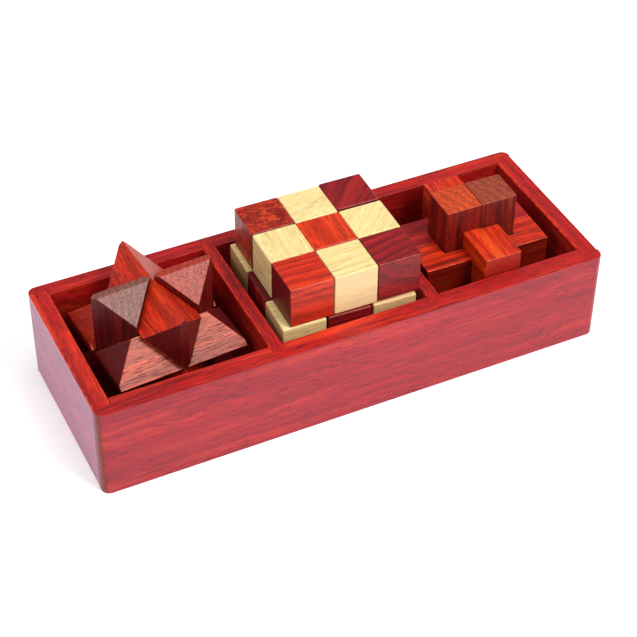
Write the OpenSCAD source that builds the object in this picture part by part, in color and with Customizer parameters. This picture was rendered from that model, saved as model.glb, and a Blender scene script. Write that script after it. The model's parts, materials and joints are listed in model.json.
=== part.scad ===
// Boxed set of three wooden interlocking puzzles: a six-piece star, a snake cube whose cubelets
// are bored for a cord, and a six-piece burr, standing in an open tray with three compartments.
// Frame: X along the tray, Y to its back, Z up, origin under the middle of the tray.

/* [Tray] */
// Outside length of the tray
tray_l = 234.5; // [230:0.5:240]
// Outside width of the tray
tray_w = 85.5; // [85:0.5:90]
// Height of the four walls
tray_h = 44.5; // [40:0.5:46]
// Thickness of the front wall
front_t = 8.8; // [7:0.1:9.2]
// Thickness of the back wall
back_t = 7.2; // [7:0.1:7.2]
// Thickness of the two end boards
end_t = 8.1; // [7:0.1:9]
// Thickness of the two dividers
divider_t = 5.8; // [4:0.1:6]
// Thickness of the base panel
base_t = 6.5; // [4:0.5:8]
// Depth of the housings that the boards are let into
housing = 3.5; // [2:0.1:4]
// Radius of the tray's upright corners
corner_r = 3.5; // [1:0.1:3.8]
// Middle of the left divider, from the middle of the tray
divider_left_x = -35.9; // [-37:0.1:-35]
// Middle of the right divider, from the middle of the tray
divider_right_x = 37.4; // [36:0.1:38.5]

/* [Star] */
// Side of the square section of one piece
star_bar = 19.1; // [18:0.1:19.2]
// Distance from the middle of the star to a piece's middle line
star_mid = 14.2; // [13.8:0.1:14.2]
// Length of one piece
star_l = 58; // [56:0.1:58]
// Width of the flat strip that the bevels leave at each end of a piece
star_flat = 3.4; // [0:0.1:3.4]
// Play between neighbouring pieces of the star
star_play = 0.1; // [0.05:0.05:0.3]
// Middle of the star, along the tray
star_x = -73.5; // [-74:0.1:-73]
// Middle of the star, across the tray
star_y = 5.4; // [0:0.1:5.5]
// Turn of the star about the upright axis, in degrees
star_turn = 4.2; // [0:0.1:4.2]

/* [Snake cube] */
// Edge of one cubelet
cubelet = 20; // [19:0.5:20]
// Bore through the cubelets for a cord
bore_d = 5; // [3:0.1:6]
// Gap between neighbouring cubelets of the two lower layers
loose = 0.6; // [0:0.1:0.6]
// Middle of the two lower layers, along the tray
cube_x = 1.3; // [0:0.1:2]
// Middle of the two lower layers, across the tray
cube_y = -0.3; // [-1:0.1:2]
// Turn of the two lower layers about the upright axis, in degrees
cube_turn = -2.6; // [-2.6:0.1:1]
// How far the top layer's front left cubelet has slid to the right
top_right = 3.2; // [0:0.1:3.2]
// How far it has slid to the back
top_back = 0.3; // [0:0.1:1]
// Turn of the top layer on the middle one, in degrees
top_turn = 1.4; // [0:0.1:3]
// How far the last cubelet on the cord stands back from its row
end_slip = 0.9; // [0:0.1:1.5]

/* [Burr] */
// Width and thickness of one bar
bar_w = 17; // [15:0.5:17]
// Play between neighbouring bars
bar_play = 0.2; // [0.1:0.05:0.4]
// Middle of the burr, along the tray
burr_x = 72.5; // [72:0.1:76]
// Middle of the burr, across the tray
burr_y = -3.7; // [-3.7:0.1:3]
// Turn of the burr about the upright axis, in degrees
burr_turn = -1.2; // [-1.5:0.1:1.5]

/* [Hidden] */
$fn = 48;
// Air under each puzzle, and between the layers of the cube
rest_gap = 0.1;
// Half a bar, the unit that the burr's notches are counted in
unit = bar_w / 2;
// A bar is seven units long
bar_l = 7 * unit;
// Side of the upright square that bevels the ends of the star's top piece
star_bevel = (star_l + star_flat) / sqrt(2);
// Bottom of the housings in the front wall, in the back wall and in the two ends
housing_front = -tray_w / 2 + front_t - housing;
housing_back = tray_w / 2 - back_t + housing;
base_x = tray_l / 2 - end_t + housing;
// A length that reaches past any cut
past = 200;
CUBELETS = 27;
TOP_LAYER = 2;
function cubelet_name(n) = str("cubelet_", n < 10 ? "0" : "", n);

TRAY_NODES = ["front_wall", "back_wall", "left_end", "right_end", "left_divider",
              "right_divider", "base_panel"];
STAR_NODES = ["star_bottom", "star_top", "star_left", "star_right", "star_front", "star_back"];
BURR_NODES = ["burr_front_bar", "burr_back_bar", "burr_lower_bar", "burr_upper_bar",
              "burr_left_bar", "burr_key_bar"];

// ---- Tray -------------------------------------------------------------------------------

// Plan of the whole tray, with rounded corners
module tray_plan() {
    square([tray_l - 2 * corner_r, tray_w], center = true);
    square([tray_l, tray_w - 2 * corner_r], center = true);
    for (x = [-1, 1], y = [-1, 1])
        translate([x * (tray_l / 2 - corner_r), y * (tray_w / 2 - corner_r)])
            circle(r = corner_r);
}

// The space that the base panel fills, let into all four walls
module base_space() {
    translate([-base_x, housing_front, 0])
        cube([2 * base_x, housing_back - housing_front, base_t]);
}

// A long wall in the front wall's place. The end boards and the dividers are let into it.
module long_wall(t) {
    front = -tray_w / 2;
    inner = front + t;
    difference() {
        linear_extrude(tray_h)
            difference() {
                intersection() {
                    tray_plan();
                    translate([-past, front])
                        square([2 * past, t]);
                }
                for (side = [-1, 1])
                    translate([side * (tray_l / 2 - end_t / 2), inner - housing / 2])
                        square([end_t, housing], center = true);
            }
        for (x = [divider_left_x, divider_right_x])
            translate([x - divider_t / 2, inner - housing, 0])
                cube([divider_t, housing + 1, tray_h + 1]);
        translate([-base_x, inner - housing, -1])
            cube([2 * base_x, housing + 2, base_t + 1]);
    }
}

module front_wall() {
    color("#9c2b25") long_wall(front_t);
}

module back_wall() {
    color("#a83a26") mirror([0, 1, 0]) long_wall(back_t);
}

// An end board or a divider, from one long wall's housing to the other's
module cross_board(x, t, z) {
    translate([x - t / 2, housing_front, z])
        cube([t, housing_back - housing_front, tray_h - z]);
}

module end_board(side) {
    difference() {
        cross_board(side * (tray_l - end_t) / 2, end_t, 0);
        base_space();
    }
}

module left_end() {
    color("#b4605a") end_board(-1);
}

module right_end() {
    color("#a83a26") end_board(1);
}

module left_divider() {
    color("#b53a24") cross_board(divider_left_x, divider_t, base_t);
}

module right_divider() {
    color("#b53a24") cross_board(divider_right_x, divider_t, base_t);
}

module base_panel() {
    color("#5c1410") base_space();
}

// ---- Star -------------------------------------------------------------------------------

// A square bar along X on its edge, above the middle of the star
module edge_bar(side) {
    translate([0, 0, star_mid])
        rotate([45, 0, 0])
            cube([past, side, side], center = true);
}

// The top piece about the star's middle: a square bar along Y on its edge. Two bevels at each
// end leave a flat strip between them, and two V notches underneath take the front and back
// pieces.
module star_piece() {
    difference() {
        intersection() {
            rotate([0, 0, 90])
                edge_bar(star_bar - star_play);
            rotate([0, 0, 45])
                cube([star_bevel, star_bevel, past], center = true);
            cube([past, star_l, past], center = true);
        }
        for (side = [-1, 1])
            rotate([90 * side, 0, 0])
                edge_bar(star_bar + star_play);
    }
}

// Puts a piece of the star in its place in the tray, where it stands on two flat strips
module in_star() {
    translate([star_x, star_y, base_t + rest_gap + star_l / 2])
        rotate([0, 0, star_turn])
            children();
}

// All six pieces are one shape. A third of a turn about the diagonal [1, 1, 1] takes the bar
// along Y to the bar along Z, and two thirds take it to the bar along X.
module star_top() {
    color("#c9593a") in_star() star_piece();
}

module star_bottom() {
    color("#8c2a22") in_star() rotate([180, 0, 0]) star_piece();
}

module star_right() {
    color("#d0644a") in_star() rotate(a = 120, v = [1, 1, 1]) star_piece();
}

module star_left() {
    color("#e0806c") in_star() rotate([0, 0, 180]) rotate(a = 120, v = [1, 1, 1]) star_piece();
}

module star_back() {
    color("#c83c1e") in_star() rotate(a = 240, v = [1, 1, 1]) star_piece();
}

module star_front() {
    color("#d8704a") in_star() rotate([0, 0, 180]) rotate(a = 240, v = [1, 1, 1]) star_piece();
}

// ---- Snake cube -------------------------------------------------------------------------

// Column, row and layer of the cubelet at a place on the cord, 1 to 27. The cord runs to and
// fro over one layer after another, and each layer is run the other way from the last.
function layer_of(n) = floor((n - 1) / 9);
function step_of(n) = layer_of(n) % 2 == 0 ? (n - 1) % 9 : 8 - (n - 1) % 9;
function row_of(n) = floor(step_of(n) / 3);
function column_of(n) = row_of(n) % 2 == 0 ? step_of(n) % 3 : 2 - step_of(n) % 3;
// Gap between the cubelets of a layer. Only the top one is pushed together.
function gap_in(layer) = layer == TOP_LAYER ? 0 : loose;
// Middle of a place on the cord about the middle of the bottom layer's underside, before the
// top layer slides and turns
function middle_of(n) = [(column_of(n) - 1) * (cubelet + gap_in(layer_of(n))),
                         (row_of(n) - 1) * (cubelet + gap_in(layer_of(n))),
                         (layer_of(n) + 0.5) * cubelet + layer_of(n) * rest_gap];
function slip_of(n) = [0, n == CUBELETS ? end_slip : 0, 0];
// Way from a cubelet to the next one along the cord
function way(a, b) = [column_of(b) - column_of(a), row_of(b) - row_of(a),
                      layer_of(b) - layer_of(a)];

// Puts a piece of one layer in its place in the tray. A layer is placed by its front left
// cubelet.
module in_cube(layer) {
    top = layer == TOP_LAYER;
    corner = [-1, -1, 0];
    translate([cube_x, cube_y, base_t + rest_gap])
        rotate([0, 0, cube_turn])
            translate((cubelet + loose) * corner + (top ? [top_right, top_back, 0] : [0, 0, 0]))
                rotate([0, 0, top ? top_turn : 0])
                    translate(-(cubelet + gap_in(layer)) * corner)
                        children();
}

// The bore from a cubelet's middle out through the face towards a neighbour
module bore(towards) {
    length = cubelet / 2 + 1;
    if (towards[2] != 0)
        mirror([0, 0, towards[2] < 0 ? 1 : 0])
            cylinder(d = bore_d, h = length);
    else
        rotate([0, 90, atan2(towards[1], towards[0])])
            cylinder(d = bore_d, h = length);
}

// Neighbours of a cubelet along the cord
function neighbours(n) = [for (m = [n - 1, n + 1]) if (m >= 1 && m <= CUBELETS) m];

// One cubelet, bored from its middle to the faces that the cord passes through
module cubelet(n) {
    color(n % 2 == 1 ? "#b5301c" : "#ecd9a0")
        in_cube(layer_of(n))
            translate(middle_of(n) + slip_of(n))
                difference() {
                    cube(cubelet, center = true);
                    for (m = neighbours(n))
                        bore(way(n, m));
                    sphere(d = bore_d);
                }
}

// ---- Burr -------------------------------------------------------------------------------

// Puts a bar in its place in the tray
module in_burr() {
    translate([burr_x, burr_y, base_t + rest_gap + bar_l / 2])
        rotate([0, 0, burr_turn])
            children();
}

// A box between two corners that are counted in half bars, grown by a margin on every side
module block(low, high, margin) {
    translate(low * unit - margin * [1, 1, 1])
        cube((high - low) * unit + 2 * margin * [1, 1, 1]);
}

// A bar between two corners, less its notches. Each notch is a pair of corners too.
module bar(low, high, notches) {
    difference() {
        block(low, high, -bar_play / 2);
        for (notch = notches)
            block(notch[0], notch[1], bar_play / 2);
    }
}

module burr_front_bar() {
    color("#c23a1e") in_burr()
        bar([-3.5, -2, -1], [3.5, 0, 1], [[[-2, -1, -1], [2, 0, 1]]]);
}

module burr_back_bar() {
    color("#8e2a1c") in_burr()
        bar([-3.5, 0, -1], [3.5, 2, 1], [[[-2, 0, -1], [2, 1, 1]]]);
}

module burr_lower_bar() {
    color("#a8321e") in_burr()
        bar([-1, -3.5, -2], [1, 3.5, 0],
            [[[-1, -2, -1], [1, 2, 0]], [[0, -1, -2], [1, 1, -1]]]);
}

module burr_upper_bar() {
    color("#cc4422") in_burr()
        bar([-1, -3.5, 0], [1, 3.5, 2],
            [[[-1, -2, 0], [1, 2, 1]], [[0, -1, 1], [1, 1, 2]]]);
}

module burr_left_bar() {
    color("#9c3a22") in_burr()
        bar([-2, -1, -3.5], [0, 1, 3.5],
            [[[-1, -1, -2], [0, 1, -1]], [[-1, -1, 1], [0, 1, 2]]]);
}

// The key has no notch, so it slides straight up and frees the others
module burr_key_bar() {
    color("#7c3a26") in_burr()
        bar([0, -1, -3.5], [2, 1, 3.5], []);
}

front_wall();
back_wall();
left_end();
right_end();
left_divider();
right_divider();
base_panel();
star_bottom();
star_top();
star_left();
star_right();
star_front();
star_back();
for (n = [1:CUBELETS])
    cubelet(n);
burr_front_bar();
burr_back_bar();
burr_lower_bar();
burr_upper_bar();
burr_left_bar();
burr_key_bar();
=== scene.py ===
"""Looks of a boxed set of three wooden puzzles: a star, a snake cube and a burr in a tray."""
import json
import math
import random

import bmesh
import bpy
from mathutils import Matrix, Vector


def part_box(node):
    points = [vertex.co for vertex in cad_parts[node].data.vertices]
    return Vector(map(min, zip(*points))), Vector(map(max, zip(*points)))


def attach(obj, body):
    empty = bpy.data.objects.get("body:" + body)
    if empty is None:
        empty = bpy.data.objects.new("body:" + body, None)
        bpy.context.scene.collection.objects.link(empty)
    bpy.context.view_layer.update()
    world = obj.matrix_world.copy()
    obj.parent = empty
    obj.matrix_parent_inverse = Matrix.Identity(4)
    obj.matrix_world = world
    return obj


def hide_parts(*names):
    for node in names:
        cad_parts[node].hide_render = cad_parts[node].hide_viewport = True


MM = 0.001
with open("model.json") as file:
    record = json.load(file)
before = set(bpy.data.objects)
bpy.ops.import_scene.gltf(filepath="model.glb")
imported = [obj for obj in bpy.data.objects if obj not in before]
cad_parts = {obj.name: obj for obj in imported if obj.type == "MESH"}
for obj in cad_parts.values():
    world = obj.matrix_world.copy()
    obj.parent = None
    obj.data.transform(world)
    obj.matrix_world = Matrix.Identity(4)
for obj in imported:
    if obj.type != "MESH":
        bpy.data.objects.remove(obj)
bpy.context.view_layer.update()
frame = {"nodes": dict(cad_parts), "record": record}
nodes = frame["nodes"]
body_of_node = {
    node: body
    for body, members in frame["record"]["behaviour"]["bodies"].items()
    for node in members
}

# How each puzzle is turned in its compartment, in degrees about Z
STAR_TURN = 4.2
CUBE_TURN = -2.6
CUBE_TOP_TURN = -1.2
BURR_TURN = -1.2

# How the pieces' edges are rounded
TRAY_ROUNDING = 0.9 * MM
DIVIDER_ROUNDING = 0.6 * MM
STAR_ROUNDING = 0.18 * MM
CUBELET_ROUNDING = 0.85 * MM
BURR_ROUNDING = 0.35 * MM
WELD_DISTANCE = 0.001 * MM
FLAT_ANGLE = math.radians(0.5)
ROUNDED_ANGLE = math.radians(20)
SHARP_ANGLE = math.radians(42)

# How far a place on an edge may be from the face that it is compared with
SLACK = 0.3 * MM

# How well a level, upright or sideways face has to match its direction
FACES_ALONG = 0.9
FACES_ACROSS = 0.1


# ---- Shader helpers ------------------------------------------------------------------


def linear(hex_colour):
    """A shader colour from an sRGB hex colour."""
    parts = [int(hex_colour[i:i + 2], 16) / 255 for i in (1, 3, 5)]
    return [c / 12.92 if c <= 0.04045 else ((c + 0.055) / 1.055) ** 2.4 for c in parts] + [1.0]


class Graph:
    """A short way to add nodes to a node tree and link them."""

    def __init__(self, tree):
        self.tree = tree

    def add(self, kind, values=None, **settings):
        node = self.tree.nodes.new(kind)
        for key, value in settings.items():
            setattr(node, key, value)
        for key, value in (values or {}).items():
            socket = node.inputs[key]
            if isinstance(value, bpy.types.NodeSocket):
                self.tree.links.new(value, socket)
            else:
                socket.default_value = value
        return node

    def math(self, operation, a, b=0.5):
        return self.add("ShaderNodeMath", {0: a, 1: b}, operation=operation).outputs[0]

    def noise(self, vector, scale, detail=2.0, roughness=0.5, distortion=0.0):
        """3-D noise of a vector that is stretched by scale, a number for each axis."""
        stretched = self.add(
            "ShaderNodeVectorMath", {0: vector, 1: scale}, operation="MULTIPLY"
        )
        values = {
            "Vector": stretched.outputs[0],
            "Scale": 1.0,
            "Detail": detail,
            "Roughness": roughness,
            "Distortion": distortion,
        }
        return self.add("ShaderNodeTexNoise", values).outputs["Fac"]

    def band(self, value, low, high, to_low=0.0, to_high=1.0):
        """Value from low to high becomes to_low to to_high, smoothly."""
        node = self.add(
            "ShaderNodeMapRange",
            {"Value": value, "From Min": low, "From Max": high, "To Min": to_low, "To Max": to_high},
            interpolation_type="SMOOTHSTEP",
        )
        return node.outputs["Result"]

    def mix(self, factor, a, b, blend="MIX"):
        node = self.add("ShaderNodeMix", data_type="RGBA", blend_type=blend, clamp_factor=True)
        for socket, value in ((node.inputs[0], factor), (node.inputs[6], a), (node.inputs[7], b)):
            if isinstance(value, bpy.types.NodeSocket):
                self.tree.links.new(value, socket)
            else:
                socket.default_value = value
        return node.outputs[2]


# ---- Wood ----------------------------------------------------------------------------

GROUP_INPUTS = (
    ("Place", "NodeSocketVector", (0, 0, 0)),
    ("Facing", "NodeSocketVector", (0, 0, 1)),
    ("Dark", "NodeSocketColor", (0.05, 0, 0, 1)),
    ("Middle", "NodeSocketColor", (0.3, 0.02, 0.01, 1)),
    ("Light", "NodeSocketColor", (0.6, 0.08, 0.02, 1)),
    ("End", "NodeSocketColor", (0.3, 0.1, 0.05, 1)),
    ("Ring Gap", "NodeSocketFloat", 4.0),
    ("Rings", "NodeSocketFloat", 0.5),
    ("Streaks", "NodeSocketFloat", 0.5),
    ("Pores", "NodeSocketFloat", 0.5),
    ("Curl", "NodeSocketFloat", 0.0),
    ("Gloss", "NodeSocketFloat", 0.35),
    # how strongly the rounded edges are painted with a highlight
    ("Edge Highlight", "NodeSocketFloat", 0.3),
    ("Fibre", "NodeSocketFloat", 1.0),
)
GROUP_OUTPUTS = (
    ("Colour", "NodeSocketColor"),
    ("Roughness", "NodeSocketFloat"),
    ("Height", "NodeSocketFloat"),
)
PORE_BLACK = (0.004, 0.0015, 0.001, 1)


def scaled(g, vector, scale):
    """A vector multiplied by scale, a number for each axis."""
    return g.add("ShaderNodeVectorMath", {0: vector, 1: scale}, operation="MULTIPLY").outputs[0]


def grey(g, value):
    """A number as a colour, to multiply another colour by."""
    return g.add("ShaderNodeCombineXYZ", {0: value, 1: value, 2: value}).outputs[0]


def bent_place(g, place):
    """The place across the grain that a fibre comes from, because the fibres wander a little."""
    bend = g.add(
        "ShaderNodeTexNoise",
        {"Vector": scaled(g, place, (0.012, 0.05, 0.05)), "Scale": 1.0, "Detail": 2.0},
    ).outputs["Color"]
    shift = g.add("ShaderNodeVectorMath", {0: bend, 1: (0.5, 0.5, 0.5)}, operation="SUBTRACT")
    wander = scaled(g, shift.outputs[0], (0, 9, 9))
    return g.add("ShaderNodeVectorMath", {0: place, 1: wander}, operation="ADD").outputs[0]


def growth_rings(g, bent, given):
    """Rings about the pith, that darken slowly and end at once."""
    apart = g.add("ShaderNodeSeparateXYZ", {0: bent}).outputs
    across = g.math("POWER", apart["Y"], 2.0)
    upright = g.math("POWER", apart["Z"], 2.0)
    radius = g.math("SQRT", g.math("ADD", across, upright))
    uneven = g.noise(bent, (0.004, 0.12, 0.12), 3.0)
    phase = g.math("DIVIDE", radius, given["Ring Gap"])
    phase = g.math("ADD", phase, g.math("MULTIPLY", uneven, 1.6))
    saw = g.math("FRACT", phase)
    ring = g.math("MULTIPLY", g.band(saw, 0.05, 0.85), g.band(saw, 0.99, 0.9))
    return g.math("MULTIPLY", ring, given["Rings"])


def streaks_of(g, bent, given):
    """Long dark streaks and long light ones."""
    dark_noise = g.noise(bent, (0.010, 0.42, 0.42), 5.0, 0.62)
    dark = g.math("MULTIPLY", g.band(dark_noise, 0.50, 0.72), given["Streaks"])
    light_noise = g.noise(bent, (0.008, 0.16, 0.16), 4.0, 0.6)
    light = g.math("MULTIPLY", g.band(light_noise, 0.5, 0.72), given["Streaks"])
    return dark, light


def curly_figure(g, bent, given):
    """Short waves across the grain."""
    curl = g.noise(bent, (0.42, 0.14, 0.14), 4.0, 0.65, 1.2)
    return g.math("MULTIPLY", g.band(curl, 0.46, 0.6), given["Curl"])


def pores_of(g, place, given):
    """Pores: dashes along the grain, dots across it, more of them in some patches."""
    noise = g.noise(place, (0.17, 3.0, 3.0), 2.0, 0.5)
    patchy = g.noise(place, (0.03, 0.13, 0.13), 2.0)
    pore = g.band(g.math("ADD", noise, g.math("MULTIPLY", patchy, 0.22)), 0.70, 0.76)
    return g.math("MULTIPLY", pore, given["Pores"])


def side_colour(g, bent, fibre, ring, given):
    """The colour where the surface runs along the fibres."""
    dark_streak, light_streak = streaks_of(g, bent, given)
    colour = g.mix(ring, given["Middle"], given["Dark"])
    colour = g.mix(light_streak, colour, given["Light"])
    colour = g.mix(dark_streak, colour, given["Dark"])
    colour = g.mix(curly_figure(g, bent, given), colour, given["Light"])
    contrast = g.math("MULTIPLY", g.band(fibre, 0.28, 0.72, -0.32, 0.24), given["Fibre"])
    return g.mix(1.0, colour, grey(g, g.math("ADD", contrast, 1.0)), "MULTIPLY")


def end_colour_of(g, place, ring, given):
    """The colour of end grain, which is speckled."""
    colour = g.mix(g.math("MULTIPLY", ring, 0.6), given["End"], given["Dark"])
    speck = g.noise(place, (0.2, 1.5, 1.5), 2.0, 0.7)
    return g.mix(1.0, colour, grey(g, g.band(speck, 0.35, 0.62, 1.2, 0.62)), "MULTIPLY")


def with_painted_edge_highlight(g, place, colour, given):
    """The colour with a painted highlight on the rounded edges, in patches along them."""
    edge = g.add("ShaderNodeAttribute", attribute_name="edge").outputs["Fac"]
    patch = g.band(g.noise(place, (0.35, 0.35, 0.35), 3.0), 0.38, 0.66)
    patch = g.math("MULTIPLY", patch, given["Edge Highlight"])
    return g.mix(g.math("MULTIPLY", edge, patch), colour, given["Light"])


def add_sockets(tree):
    for name, kind, value in GROUP_INPUTS:
        socket = tree.interface.new_socket(name, in_out="INPUT", socket_type=kind)
        socket.default_value = value
    for name, kind in GROUP_OUTPUTS:
        tree.interface.new_socket(name, in_out="OUTPUT", socket_type=kind)


def make_wood_group():
    """Solid wood in millimetres with the grain along X: rings about the pith, dark and light
    streaks, pores that are dashes along the grain and dots across it, curly figure, and a painted
    highlight on the rounded edges."""
    tree = bpy.data.node_groups.new("solid_wood", "ShaderNodeTree")
    add_sockets(tree)
    g = Graph(tree)
    given = g.add("NodeGroupInput").outputs
    place = given["Place"]
    bent = bent_place(g, place)
    ring = growth_rings(g, bent, given)
    fibre = g.noise(bent, (0.09, 2.6, 2.6), 3.0, 0.6)
    pore = pores_of(g, place, given)

    # End grain is where the surface faces along the fibres
    facing = g.add("ShaderNodeSeparateXYZ", {0: given["Facing"]}).outputs
    end = g.band(g.math("ABSOLUTE", facing["X"]), 0.48, 0.68)
    along = side_colour(g, bent, fibre, ring, given)
    colour = g.mix(end, along, end_colour_of(g, place, ring, given))
    colour = g.mix(pore, colour, g.mix(0.75, given["Dark"], PORE_BLACK))
    # painted highlight on the rounded edges
    colour = with_painted_edge_highlight(g, place, colour, given)

    rough = g.math("ADD", given["Gloss"], g.math("MULTIPLY", pore, 0.25))
    rough = g.math("ADD", rough, g.math("MULTIPLY", g.math("SUBTRACT", fibre, 0.5), 0.12))
    height = g.math("SUBTRACT", g.math("MULTIPLY", fibre, 0.25), pore)
    height = g.math("ADD", height, g.noise(place, (0.02, 0.12, 0.12), 2.0))
    given_out = g.add("NodeGroupOutput", {"Colour": colour, "Roughness": rough, "Height": height})
    given_out.is_active_output = True
    return tree


WOOD_GROUP = make_wood_group()

# Tones of each kind of timber: dark, middle, light and end grain
TONES = {
    "red": ("#4a0806", "#b01a0c", "#dc3c14", "#8c2c1c"),
    "orange": ("#8c1408", "#d8340e", "#f4601c", "#b02c18"),
    "maroon": ("#4a080c", "#94161c", "#ac281e", "#6a1418"),
    "brown": ("#2c0805", "#7c180e", "#a43418", "#a84830"),
    "ember": ("#3c0806", "#8c140c", "#b82c14", "#d44c20"),
    "cream": ("#a07838", "#ecd290", "#f6e0aa", "#d8ac74"),
    "tan": ("#a07840", "#dcb880", "#ecca98", "#cc9c68"),
    "tray": ("#6e0e10", "#b41c1a", "#dc3c1c", "#8c2822"),
    "salmon": ("#5c1810", "#cc5034", "#e07450", "#5c1012"),
    "beige": ("#30060a", "#5c0c10", "#84180f", "#8a5448"),
    "pink": ("#3a080a", "#6c0e10", "#982014", "#b43e2a"),
    "flame": ("#680e06", "#d02c0c", "#f04c18", "#640e10"),
    "mottled": ("#5a0c08", "#94160e", "#c83e18", "#5a1610"),
}
SPECULAR_IOR = 1.36
COAT_WEIGHT = 0.08
COAT_ROUGHNESS = 0.22
BUMP_STRENGTH = 0.35
BUMP_DEPTH = 0.12 * MM

# Where pieces are cut from a log: along it and about its pith, in millimetres
LOG_REACH = 900
PITH_SCATTER = 4
NEARLY_UPRIGHT = 0.1

# How squarely a face looks the way of its painted light and shade, where that starts to show and
# shows in full
PAINTED_LIGHT_BAND = (0.75, 0.95)

# Pieces with painted light and shade on one face: the way it faces, the painted colour and how much
# of it shows
PAINTED_FACE_LIGHT = {
    # painted reflection: a lavender sheen on the left end's outer face
    "left_end": ((-1, 0, 0), "#b48cb0", 0.45),
    # painted reflection: a raspberry sheen on the front wall's outer face
    "front_wall": ((0, -1, 0), "#9c2844", 0.35),
    # painted shade on the front face of the burr's front bar
    "burr_front_bar": ((0, -1, 0), "#4c0806", 0.7),
    # painted shade on the front end of the burr's upper bar
    "burr_upper_bar": ((0, -1, 0), "#a41810", 0.5),
    # painted light: a lighter, pinker front face on cubelet 20
    "cubelet_20": ((0, -1, 0), "#f0c8a0", 0.5),
}


def grain_turn(grain):
    """The turn that brings the fibres' direction to X."""
    along = Vector(grain).normalized()
    other = along.cross(Vector((0, 0, 1)))
    if other.length < NEARLY_UPRIGHT:
        other = Vector((0, 1, 0))
    other = other.normalized()
    return Matrix((along, other, along.cross(other))).to_euler("XYZ")


def log_place(seed, pith):
    """Where in its log a piece is cut from, in millimetres."""
    rand = random.Random(seed)
    along = rand.uniform(-LOG_REACH, LOG_REACH)
    across = pith[0] + rand.uniform(-PITH_SCATTER, PITH_SCATTER)
    upright = pith[1] + rand.uniform(-PITH_SCATTER, PITH_SCATTER)
    return along, across, upright


def with_painted_face_light(g, colour, normal, face_light):
    """The colour with painted light and shade, one row of the face table, over the face that looks
    that row's way.
    """
    facing_way, tone, amount = face_light
    towards = g.add(
        "ShaderNodeVectorMath", {0: normal, 1: facing_way}, operation="DOT_PRODUCT"
    ).outputs["Value"]
    share = g.math("MULTIPLY", g.band(towards, *PAINTED_LIGHT_BAND), amount)
    return g.mix(share, colour, linear(tone))


def add_shader(g, colour, group):
    bump = g.add(
        "ShaderNodeBump",
        {"Height": group.outputs["Height"], "Strength": BUMP_STRENGTH, "Distance": BUMP_DEPTH},
    )
    shader = g.add(
        "ShaderNodeBsdfPrincipled",
        {"Base Color": colour, "Roughness": group.outputs["Roughness"],
         "Normal": bump.outputs[0], "IOR": SPECULAR_IOR, "Coat Weight": COAT_WEIGHT,
         "Coat Roughness": COAT_ROUGHNESS},
    )
    g.add("ShaderNodeOutputMaterial", {"Surface": shader.outputs[0]})


def wood(name, kind, grain, seed, pith, ring_gap, rings, streaks, pores, edge_highlight, curl=0.0,
         gloss=0.38, fibre=1.0, face_light=None):
    """A wood material. grain is the fibres' direction in the object, pith is how far the
    middle of the log lies from the piece across the grain, in millimetres. The last argument
    puts painted light and shade on one face: a row of the face table, or None."""
    material = bpy.data.materials.new(name)
    material.use_nodes = True
    tree = material.node_tree
    tree.nodes.clear()
    g = Graph(tree)
    turn = grain_turn(grain)
    coords = g.add("ShaderNodeTexCoord").outputs
    place = g.add(
        "ShaderNodeMapping",
        {"Vector": coords["Object"], "Location": log_place(seed, pith), "Rotation": turn,
         "Scale": (1 / MM, 1 / MM, 1 / MM)},
    ).outputs[0]
    facing = g.add(
        "ShaderNodeMapping", {"Vector": coords["Normal"], "Rotation": turn}, vector_type="VECTOR"
    ).outputs[0]
    dark, middle, light, end = [linear(tone) for tone in TONES[kind]]
    values = {
        "Place": place, "Facing": facing, "Dark": dark, "Middle": middle, "Light": light,
        "End": end, "Ring Gap": ring_gap, "Rings": rings, "Streaks": streaks, "Pores": pores,
        "Curl": curl, "Gloss": gloss, "Edge Highlight": edge_highlight, "Fibre": fibre,
    }
    group = g.add("ShaderNodeGroup", values, node_tree=WOOD_GROUP)
    colour = group.outputs["Colour"]
    # Painted light and shade on the face that looks one way
    if face_light is not None:
        colour = with_painted_face_light(g, colour, coords["Normal"], face_light)
    add_shader(g, colour, group)
    return material


# ---- Pieces --------------------------------------------------------------------------


def sharp_edges(bm, wanted):
    """The mesh's outer edges that wanted picks, or all of them if it is None."""
    edges = []
    for edge in bm.edges:
        if len(edge.link_faces) != 2 or edge.calc_face_angle_signed() < ROUNDED_ANGLE:
            continue
        middle = (edge.verts[0].co + edge.verts[1].co) / 2
        if wanted is None or wanted(middle, [face.normal for face in edge.link_faces]):
            edges.append(edge)
    return edges


def rounded(mesh, width, wanted, segments):
    """Rounds a mesh's sharp outer edges. Its face attribute "edge" is 1 on the roundings."""
    bm = bmesh.new()
    bm.from_mesh(mesh)
    bmesh.ops.remove_doubles(bm, verts=bm.verts, dist=WELD_DISTANCE)
    bmesh.ops.dissolve_limit(bm, angle_limit=FLAT_ANGLE, verts=bm.verts, edges=bm.edges)
    edges = sharp_edges(bm, wanted)
    layer = bm.faces.layers.float.new("edge")
    made = bmesh.ops.bevel(
        bm, geom=edges, offset=width, offset_type="OFFSET", segments=segments, profile=0.5,
        affect="EDGES", clamp_overlap=True,
    )
    for face in made["faces"]:
        face[layer] = 1.0
    for face in bm.faces:
        face.smooth = True
    bm.to_mesh(mesh)
    bm.free()


def finished(node, material, width, wanted=None, segments=3):
    """A CAD node's shape with its sharp outer edges rounded, riding in the node's place.
    wanted says which edges are rounded, from the edge's middle and its two faces' normals."""
    mesh = nodes[node].data.copy()
    mesh.name = node + "_finished"
    rounded(mesh, width, wanted, segments)
    mesh.materials.clear()
    mesh.materials.append(material)
    mesh.set_sharp_from_angle(angle=SHARP_ANGLE)
    piece = bpy.data.objects.new(node + "_finished", mesh)
    bpy.context.scene.collection.objects.link(piece)
    normals = piece.modifiers.new("flat_faces", "WEIGHTED_NORMAL")
    normals.keep_sharp = True
    normals.weight = 100
    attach(piece, body_of_node[node])
    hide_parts(node)


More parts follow.
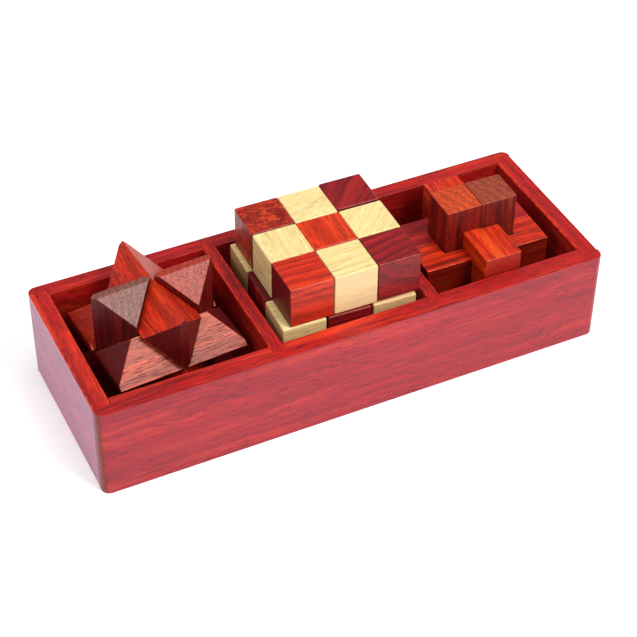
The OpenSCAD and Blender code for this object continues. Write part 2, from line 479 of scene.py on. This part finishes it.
def turned(direction, degrees):
    """A direction turned about Z."""
    return Matrix.Rotation(math.radians(degrees), 3, "Z") @ Vector(direction)


def no_edges(middle, normals):
    """Rounds nothing."""
    return False


def wall_edges(inner_y):
    """Which edges of a long wall are rounded: the inner top edge, and edges of upright faces
    that look into the tray or sideways. The long outer edges aren't among them and stay sharp.
    The rounding comes out far narrower than TRAY_ROUNDING, at less than 0.1 mm."""
    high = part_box("front_wall")[1]
    wall_end = 4 * MM
    sideways_x = 0.3

    def wanted(middle, normals):
        level = [n for n in normals if abs(n.z) > FACES_ALONG]
        upright = [n for n in normals if abs(n.z) < FACES_ACROSS]
        if len(level) != 1 or len(upright) != 1:
            return False
        looks_in = upright[0].y * inner_y < 0
        looks_in_or_sideways = looks_in or abs(upright[0].x) > sideways_x
        if middle.z > high.z - SLACK:
            at_end = abs(abs(middle.x) - high.x) < wall_end
            beyond_inner_face = abs(middle.y) > abs(inner_y)
            on_inner_face = abs(middle.y - inner_y) < SLACK
            return on_inner_face or looks_in_or_sideways and (at_end or beyond_inner_face)
        bottom = middle.z < SLACK
        near_outside = abs(middle.y) > abs(inner_y) + wall_end
        return bottom and looks_in_or_sideways and near_outside

    return wanted


def board_edges(middle, normals):
    """Edges of an end or a divider: the top ones, and the outside's bottom one."""
    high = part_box("front_wall")[1]
    upright = [n for n in normals if abs(n.x) > FACES_ALONG]
    level = [n for n in normals if abs(n.z) > FACES_ALONG]
    top = middle.z > high.z - SLACK
    bottom_outside = middle.z < SLACK and abs(middle.x) > high.x - SLACK
    return bool(upright and level) and (top or bottom_outside)


def tray_finish(node):
    """How wide a tray piece's rounding is, and which of its edges are rounded."""
    if node == "front_wall":
        return TRAY_ROUNDING, wall_edges(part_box("front_wall")[1].y)
    if node == "back_wall":
        return TRAY_ROUNDING, wall_edges(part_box("back_wall")[0].y)
    if node == "base_panel":
        return TRAY_ROUNDING, no_edges
    return (TRAY_ROUNDING if "end" in node else DIVIDER_ROUNDING), board_edges


def build_tray():
    looks = {
        "front_wall": ("tray", (1, 0, 0), 11, (24, 60)),
        "back_wall": ("tray", (1, 0, 0), 12, (20, 55)),
        "left_end": ("tray", (0, 1, 0), 13, (18, 50)),
        "right_end": ("tray", (0, 1, 0), 14, (26, 48)),
        "left_divider": ("tray", (0, 1, 0), 15, (30, 42)),
        "right_divider": ("tray", (0, 1, 0), 16, (22, 42)),
        "base_panel": ("maroon", (1, 0, 0), 17, (14, 40)),
    }
    for node, (kind, grain, seed, pith) in looks.items():
        material = wood(
            node + "_wood", kind, grain, seed, pith=pith, ring_gap=5.0, rings=0.35,
            streaks=0.75, pores=0.8, edge_highlight=0.9, face_light=PAINTED_FACE_LIGHT.get(node),
        )
        width, wanted = tray_finish(node)
        finished(node, material, width, wanted)


def build_star():
    looks = {
        "star_top": ("flame", (0, 1, 0), 21, 0.8),
        "star_bottom": ("red", (0, 1, 0), 22, 0.8),
        "star_left": ("beige", (0, 0, 1), 23, 0.8),
        "star_right": ("pink", (0, 0, 1), 24, 0.8),
        "star_front": ("salmon", (1, 0, 0), 25, 0.4),
        "star_back": ("orange", (1, 0, 0), 26, 0.8),
    }
    for node, (kind, grain, seed, streaks) in looks.items():
        material = wood(
            node + "_wood", kind, turned(grain, STAR_TURN), seed, pith=(16, 24), ring_gap=3.0,
            rings=0.5, streaks=streaks, pores=0.9, gloss=0.42, edge_highlight=0.15,
        )
        finished(node, material, STAR_ROUNDING, segments=2)


CUBELETS = 27
LAST_UNDER_TOP_LAYER = 18
CUBELET_SEED = 100

# Looks of the cubelets that differ from their neighbours': kind, grain and curl
CUBELET_LOOKS = {
    13: ("maroon", (0, 0, 1), 0.0),
    16: ("tan", (1, 0, 0), 0.0),
    17: ("maroon", (1, 0, 0), 0.0),
    19: ("flame", (1, 0, 0), 0.0),
    20: ("cream", (1, 0, 0), 0.0),
    21: ("maroon", (1, 0.2, 0), 0.0),
    22: ("cream", (1, 1, 0), 0.2),
    23: ("orange", (0, 1, 0), 0.0),
    24: ("cream", (0, 1, 0), 0.0),
    25: ("mottled", (0.3, 1, 0), 0.9),
    26: ("cream", (1, 0.3, 0), 0.3),
    27: ("maroon", (1, 1, 0), 0.0),
}


def block_edges(node):
    """Edges of a cubelet's block, and not those of its bores."""
    low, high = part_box(node)
    centre = (Vector(low) + Vector(high)) / 2
    beyond_bore = 12 * MM

    def wanted(middle, normals):
        return (middle - centre).length > beyond_bore

    return wanted


def build_cube():
    pale_figure = {"rings": 0.15, "streaks": 0.2, "pores": 0.35, "fibre": 0.4}
    red_figure = {"rings": 0.5, "streaks": 0.6, "pores": 0.6, "fibre": 0.8}
    for number in range(1, CUBELETS + 1):
        node = f"cubelet_{number:02d}"
        pale = number % 2 == 0
        usual = ("cream" if pale else "red", (1, 0, 0), 0.0)
        kind, grain, curl = CUBELET_LOOKS.get(number, usual)
        turn = CUBE_TOP_TURN if number > LAST_UNDER_TOP_LAYER else CUBE_TURN
        material = wood(
            node + "_wood", kind, turned(grain, turn), CUBELET_SEED + number, pith=(18, 26),
            ring_gap=3.0, curl=curl, edge_highlight=0.2, face_light=PAINTED_FACE_LIGHT.get(node),
            **(pale_figure if pale else red_figure),
        )
        finished(node, material, CUBELET_ROUNDING, block_edges(node))


def build_burr():
    looks = {
        "burr_front_bar": ("flame", (1, 0, 0), 31),
        "burr_back_bar": ("tray", (1, 0, 0), 32),
        "burr_lower_bar": ("red", (0, 1, 0), 33),
        "burr_upper_bar": ("orange", (0, 1, 0), 34),
        "burr_left_bar": ("ember", (0, 0, 1), 35),
        "burr_key_bar": ("brown", (0, 0, 1), 36),
    }
    for node, (kind, grain, seed) in looks.items():
        material = wood(
            node + "_wood", kind, turned(grain, BURR_TURN), seed, pith=(15, 22), ring_gap=3.5,
            rings=0.5, streaks=0.8, pores=0.7, edge_highlight=0.7, face_light=PAINTED_FACE_LIGHT.get(node),
        )
        finished(node, material, BURR_ROUNDING)


# ---- Stage ---------------------------------------------------------------------------

WORLD_COLOUR = (0.86, 0.92, 1.0, 1)
WORLD_STRENGTH = 0.32
FLOOR_HALF = 4.0
FLOOR_COLOUR = (0.9, 0.9, 0.9, 1)
FLOOR_ROUGHNESS = 0.9
FLOOR_GLOW = 0.25

# Name, azimuth and elevation in degrees, distance and size in metres, power in watts, colour
LIGHTS = (
    ("key", 30, 50, 1.3, 0.5, 12, (1.0, 0.97, 0.92)),
    ("fill", -80, 40, 1.4, 0.8, 6, (1.0, 0.97, 0.98)),
    ("top", 0, 88, 1.5, 0.8, 9, (1.0, 1.0, 1.0)),
)

# Angles in degrees, distances in metres, lens and sensor in millimetres
CAMERA_AZIMUTH = -26.09
CAMERA_ELEVATION = 41.555
CAMERA_ROLL = 0.5815
CAMERA_DISTANCE = 0.81497
CAMERA_TARGET = Vector((0.00914, 0.01839, 0.0))
CAMERA_LENS = 101.29
SENSOR = 36.0


def direction(azimuth, elevation):
    """Unit vector from the middle of the scene towards a place, azimuth 0 being the front."""
    a = math.radians(azimuth)
    e = math.radians(elevation)
    return Vector((math.sin(a) * math.cos(e), -math.cos(a) * math.cos(e), math.sin(e)))


def build_camera():
    back = direction(CAMERA_AZIMUTH, CAMERA_ELEVATION)
    right = (-back).cross(Vector((0, 0, 1))).normalized()
    up = right.cross(-back)
    roll = math.radians(CAMERA_ROLL)
    side = right * math.cos(roll) + up * math.sin(roll)
    top = up * math.cos(roll) - right * math.sin(roll)
    data = bpy.data.cameras.new("camera")
    data.sensor_width = SENSOR
    data.lens = CAMERA_LENS
    camera = bpy.data.objects.new("camera", data)
    bpy.context.scene.collection.objects.link(camera)
    turn = Matrix((side, top, back)).transposed()
    camera.matrix_world = Matrix.Translation(CAMERA_TARGET + back * CAMERA_DISTANCE) @ turn.to_4x4()
    bpy.context.scene.camera = camera


def add_light(name, azimuth, elevation, distance, size, power, colour):
    data = bpy.data.lights.new(name, "AREA")
    data.shape = "SQUARE"
    data.size = size
    data.energy = power
    data.color = colour
    light = bpy.data.objects.new(name, data)
    bpy.context.scene.collection.objects.link(light)
    towards = direction(azimuth, elevation)
    light.location = towards * distance
    light.rotation_euler = towards.to_track_quat("Z", "Y").to_euler()


def build_world():
    world = bpy.data.worlds.new("studio")
    bpy.context.scene.world = world
    world.use_nodes = True
    background = world.node_tree.nodes["Background"]
    background.inputs["Color"].default_value = WORLD_COLOUR
    background.inputs["Strength"].default_value = WORLD_STRENGTH
    bpy.context.scene.view_settings.view_transform = "Standard"


def build_floor():
    mesh = bpy.data.meshes.new("floor")
    half = FLOOR_HALF
    corners = [(-half, -half, 0), (half, -half, 0), (half, half, 0), (-half, half, 0)]
    mesh.from_pydata(corners, [], [(0, 1, 2, 3)])
    floor = bpy.data.objects.new("floor", mesh)
    bpy.context.scene.collection.objects.link(floor)
    material = bpy.data.materials.new("floor")
    material.use_nodes = True
    shader = material.node_tree.nodes["Principled BSDF"]
    shader.inputs["Base Color"].default_value = FLOOR_COLOUR
    shader.inputs["Roughness"].default_value = FLOOR_ROUGHNESS
    shader.inputs["Emission Color"].default_value = (1, 1, 1, 1)
    shader.inputs["Emission Strength"].default_value = FLOOR_GLOW
    mesh.materials.append(material)


def build_stage():
    build_world()
    build_floor()
    for light in LIGHTS:
        add_light(*light)


build_tray()
build_star()
build_cube()
build_burr()
build_camera()
build_stage()
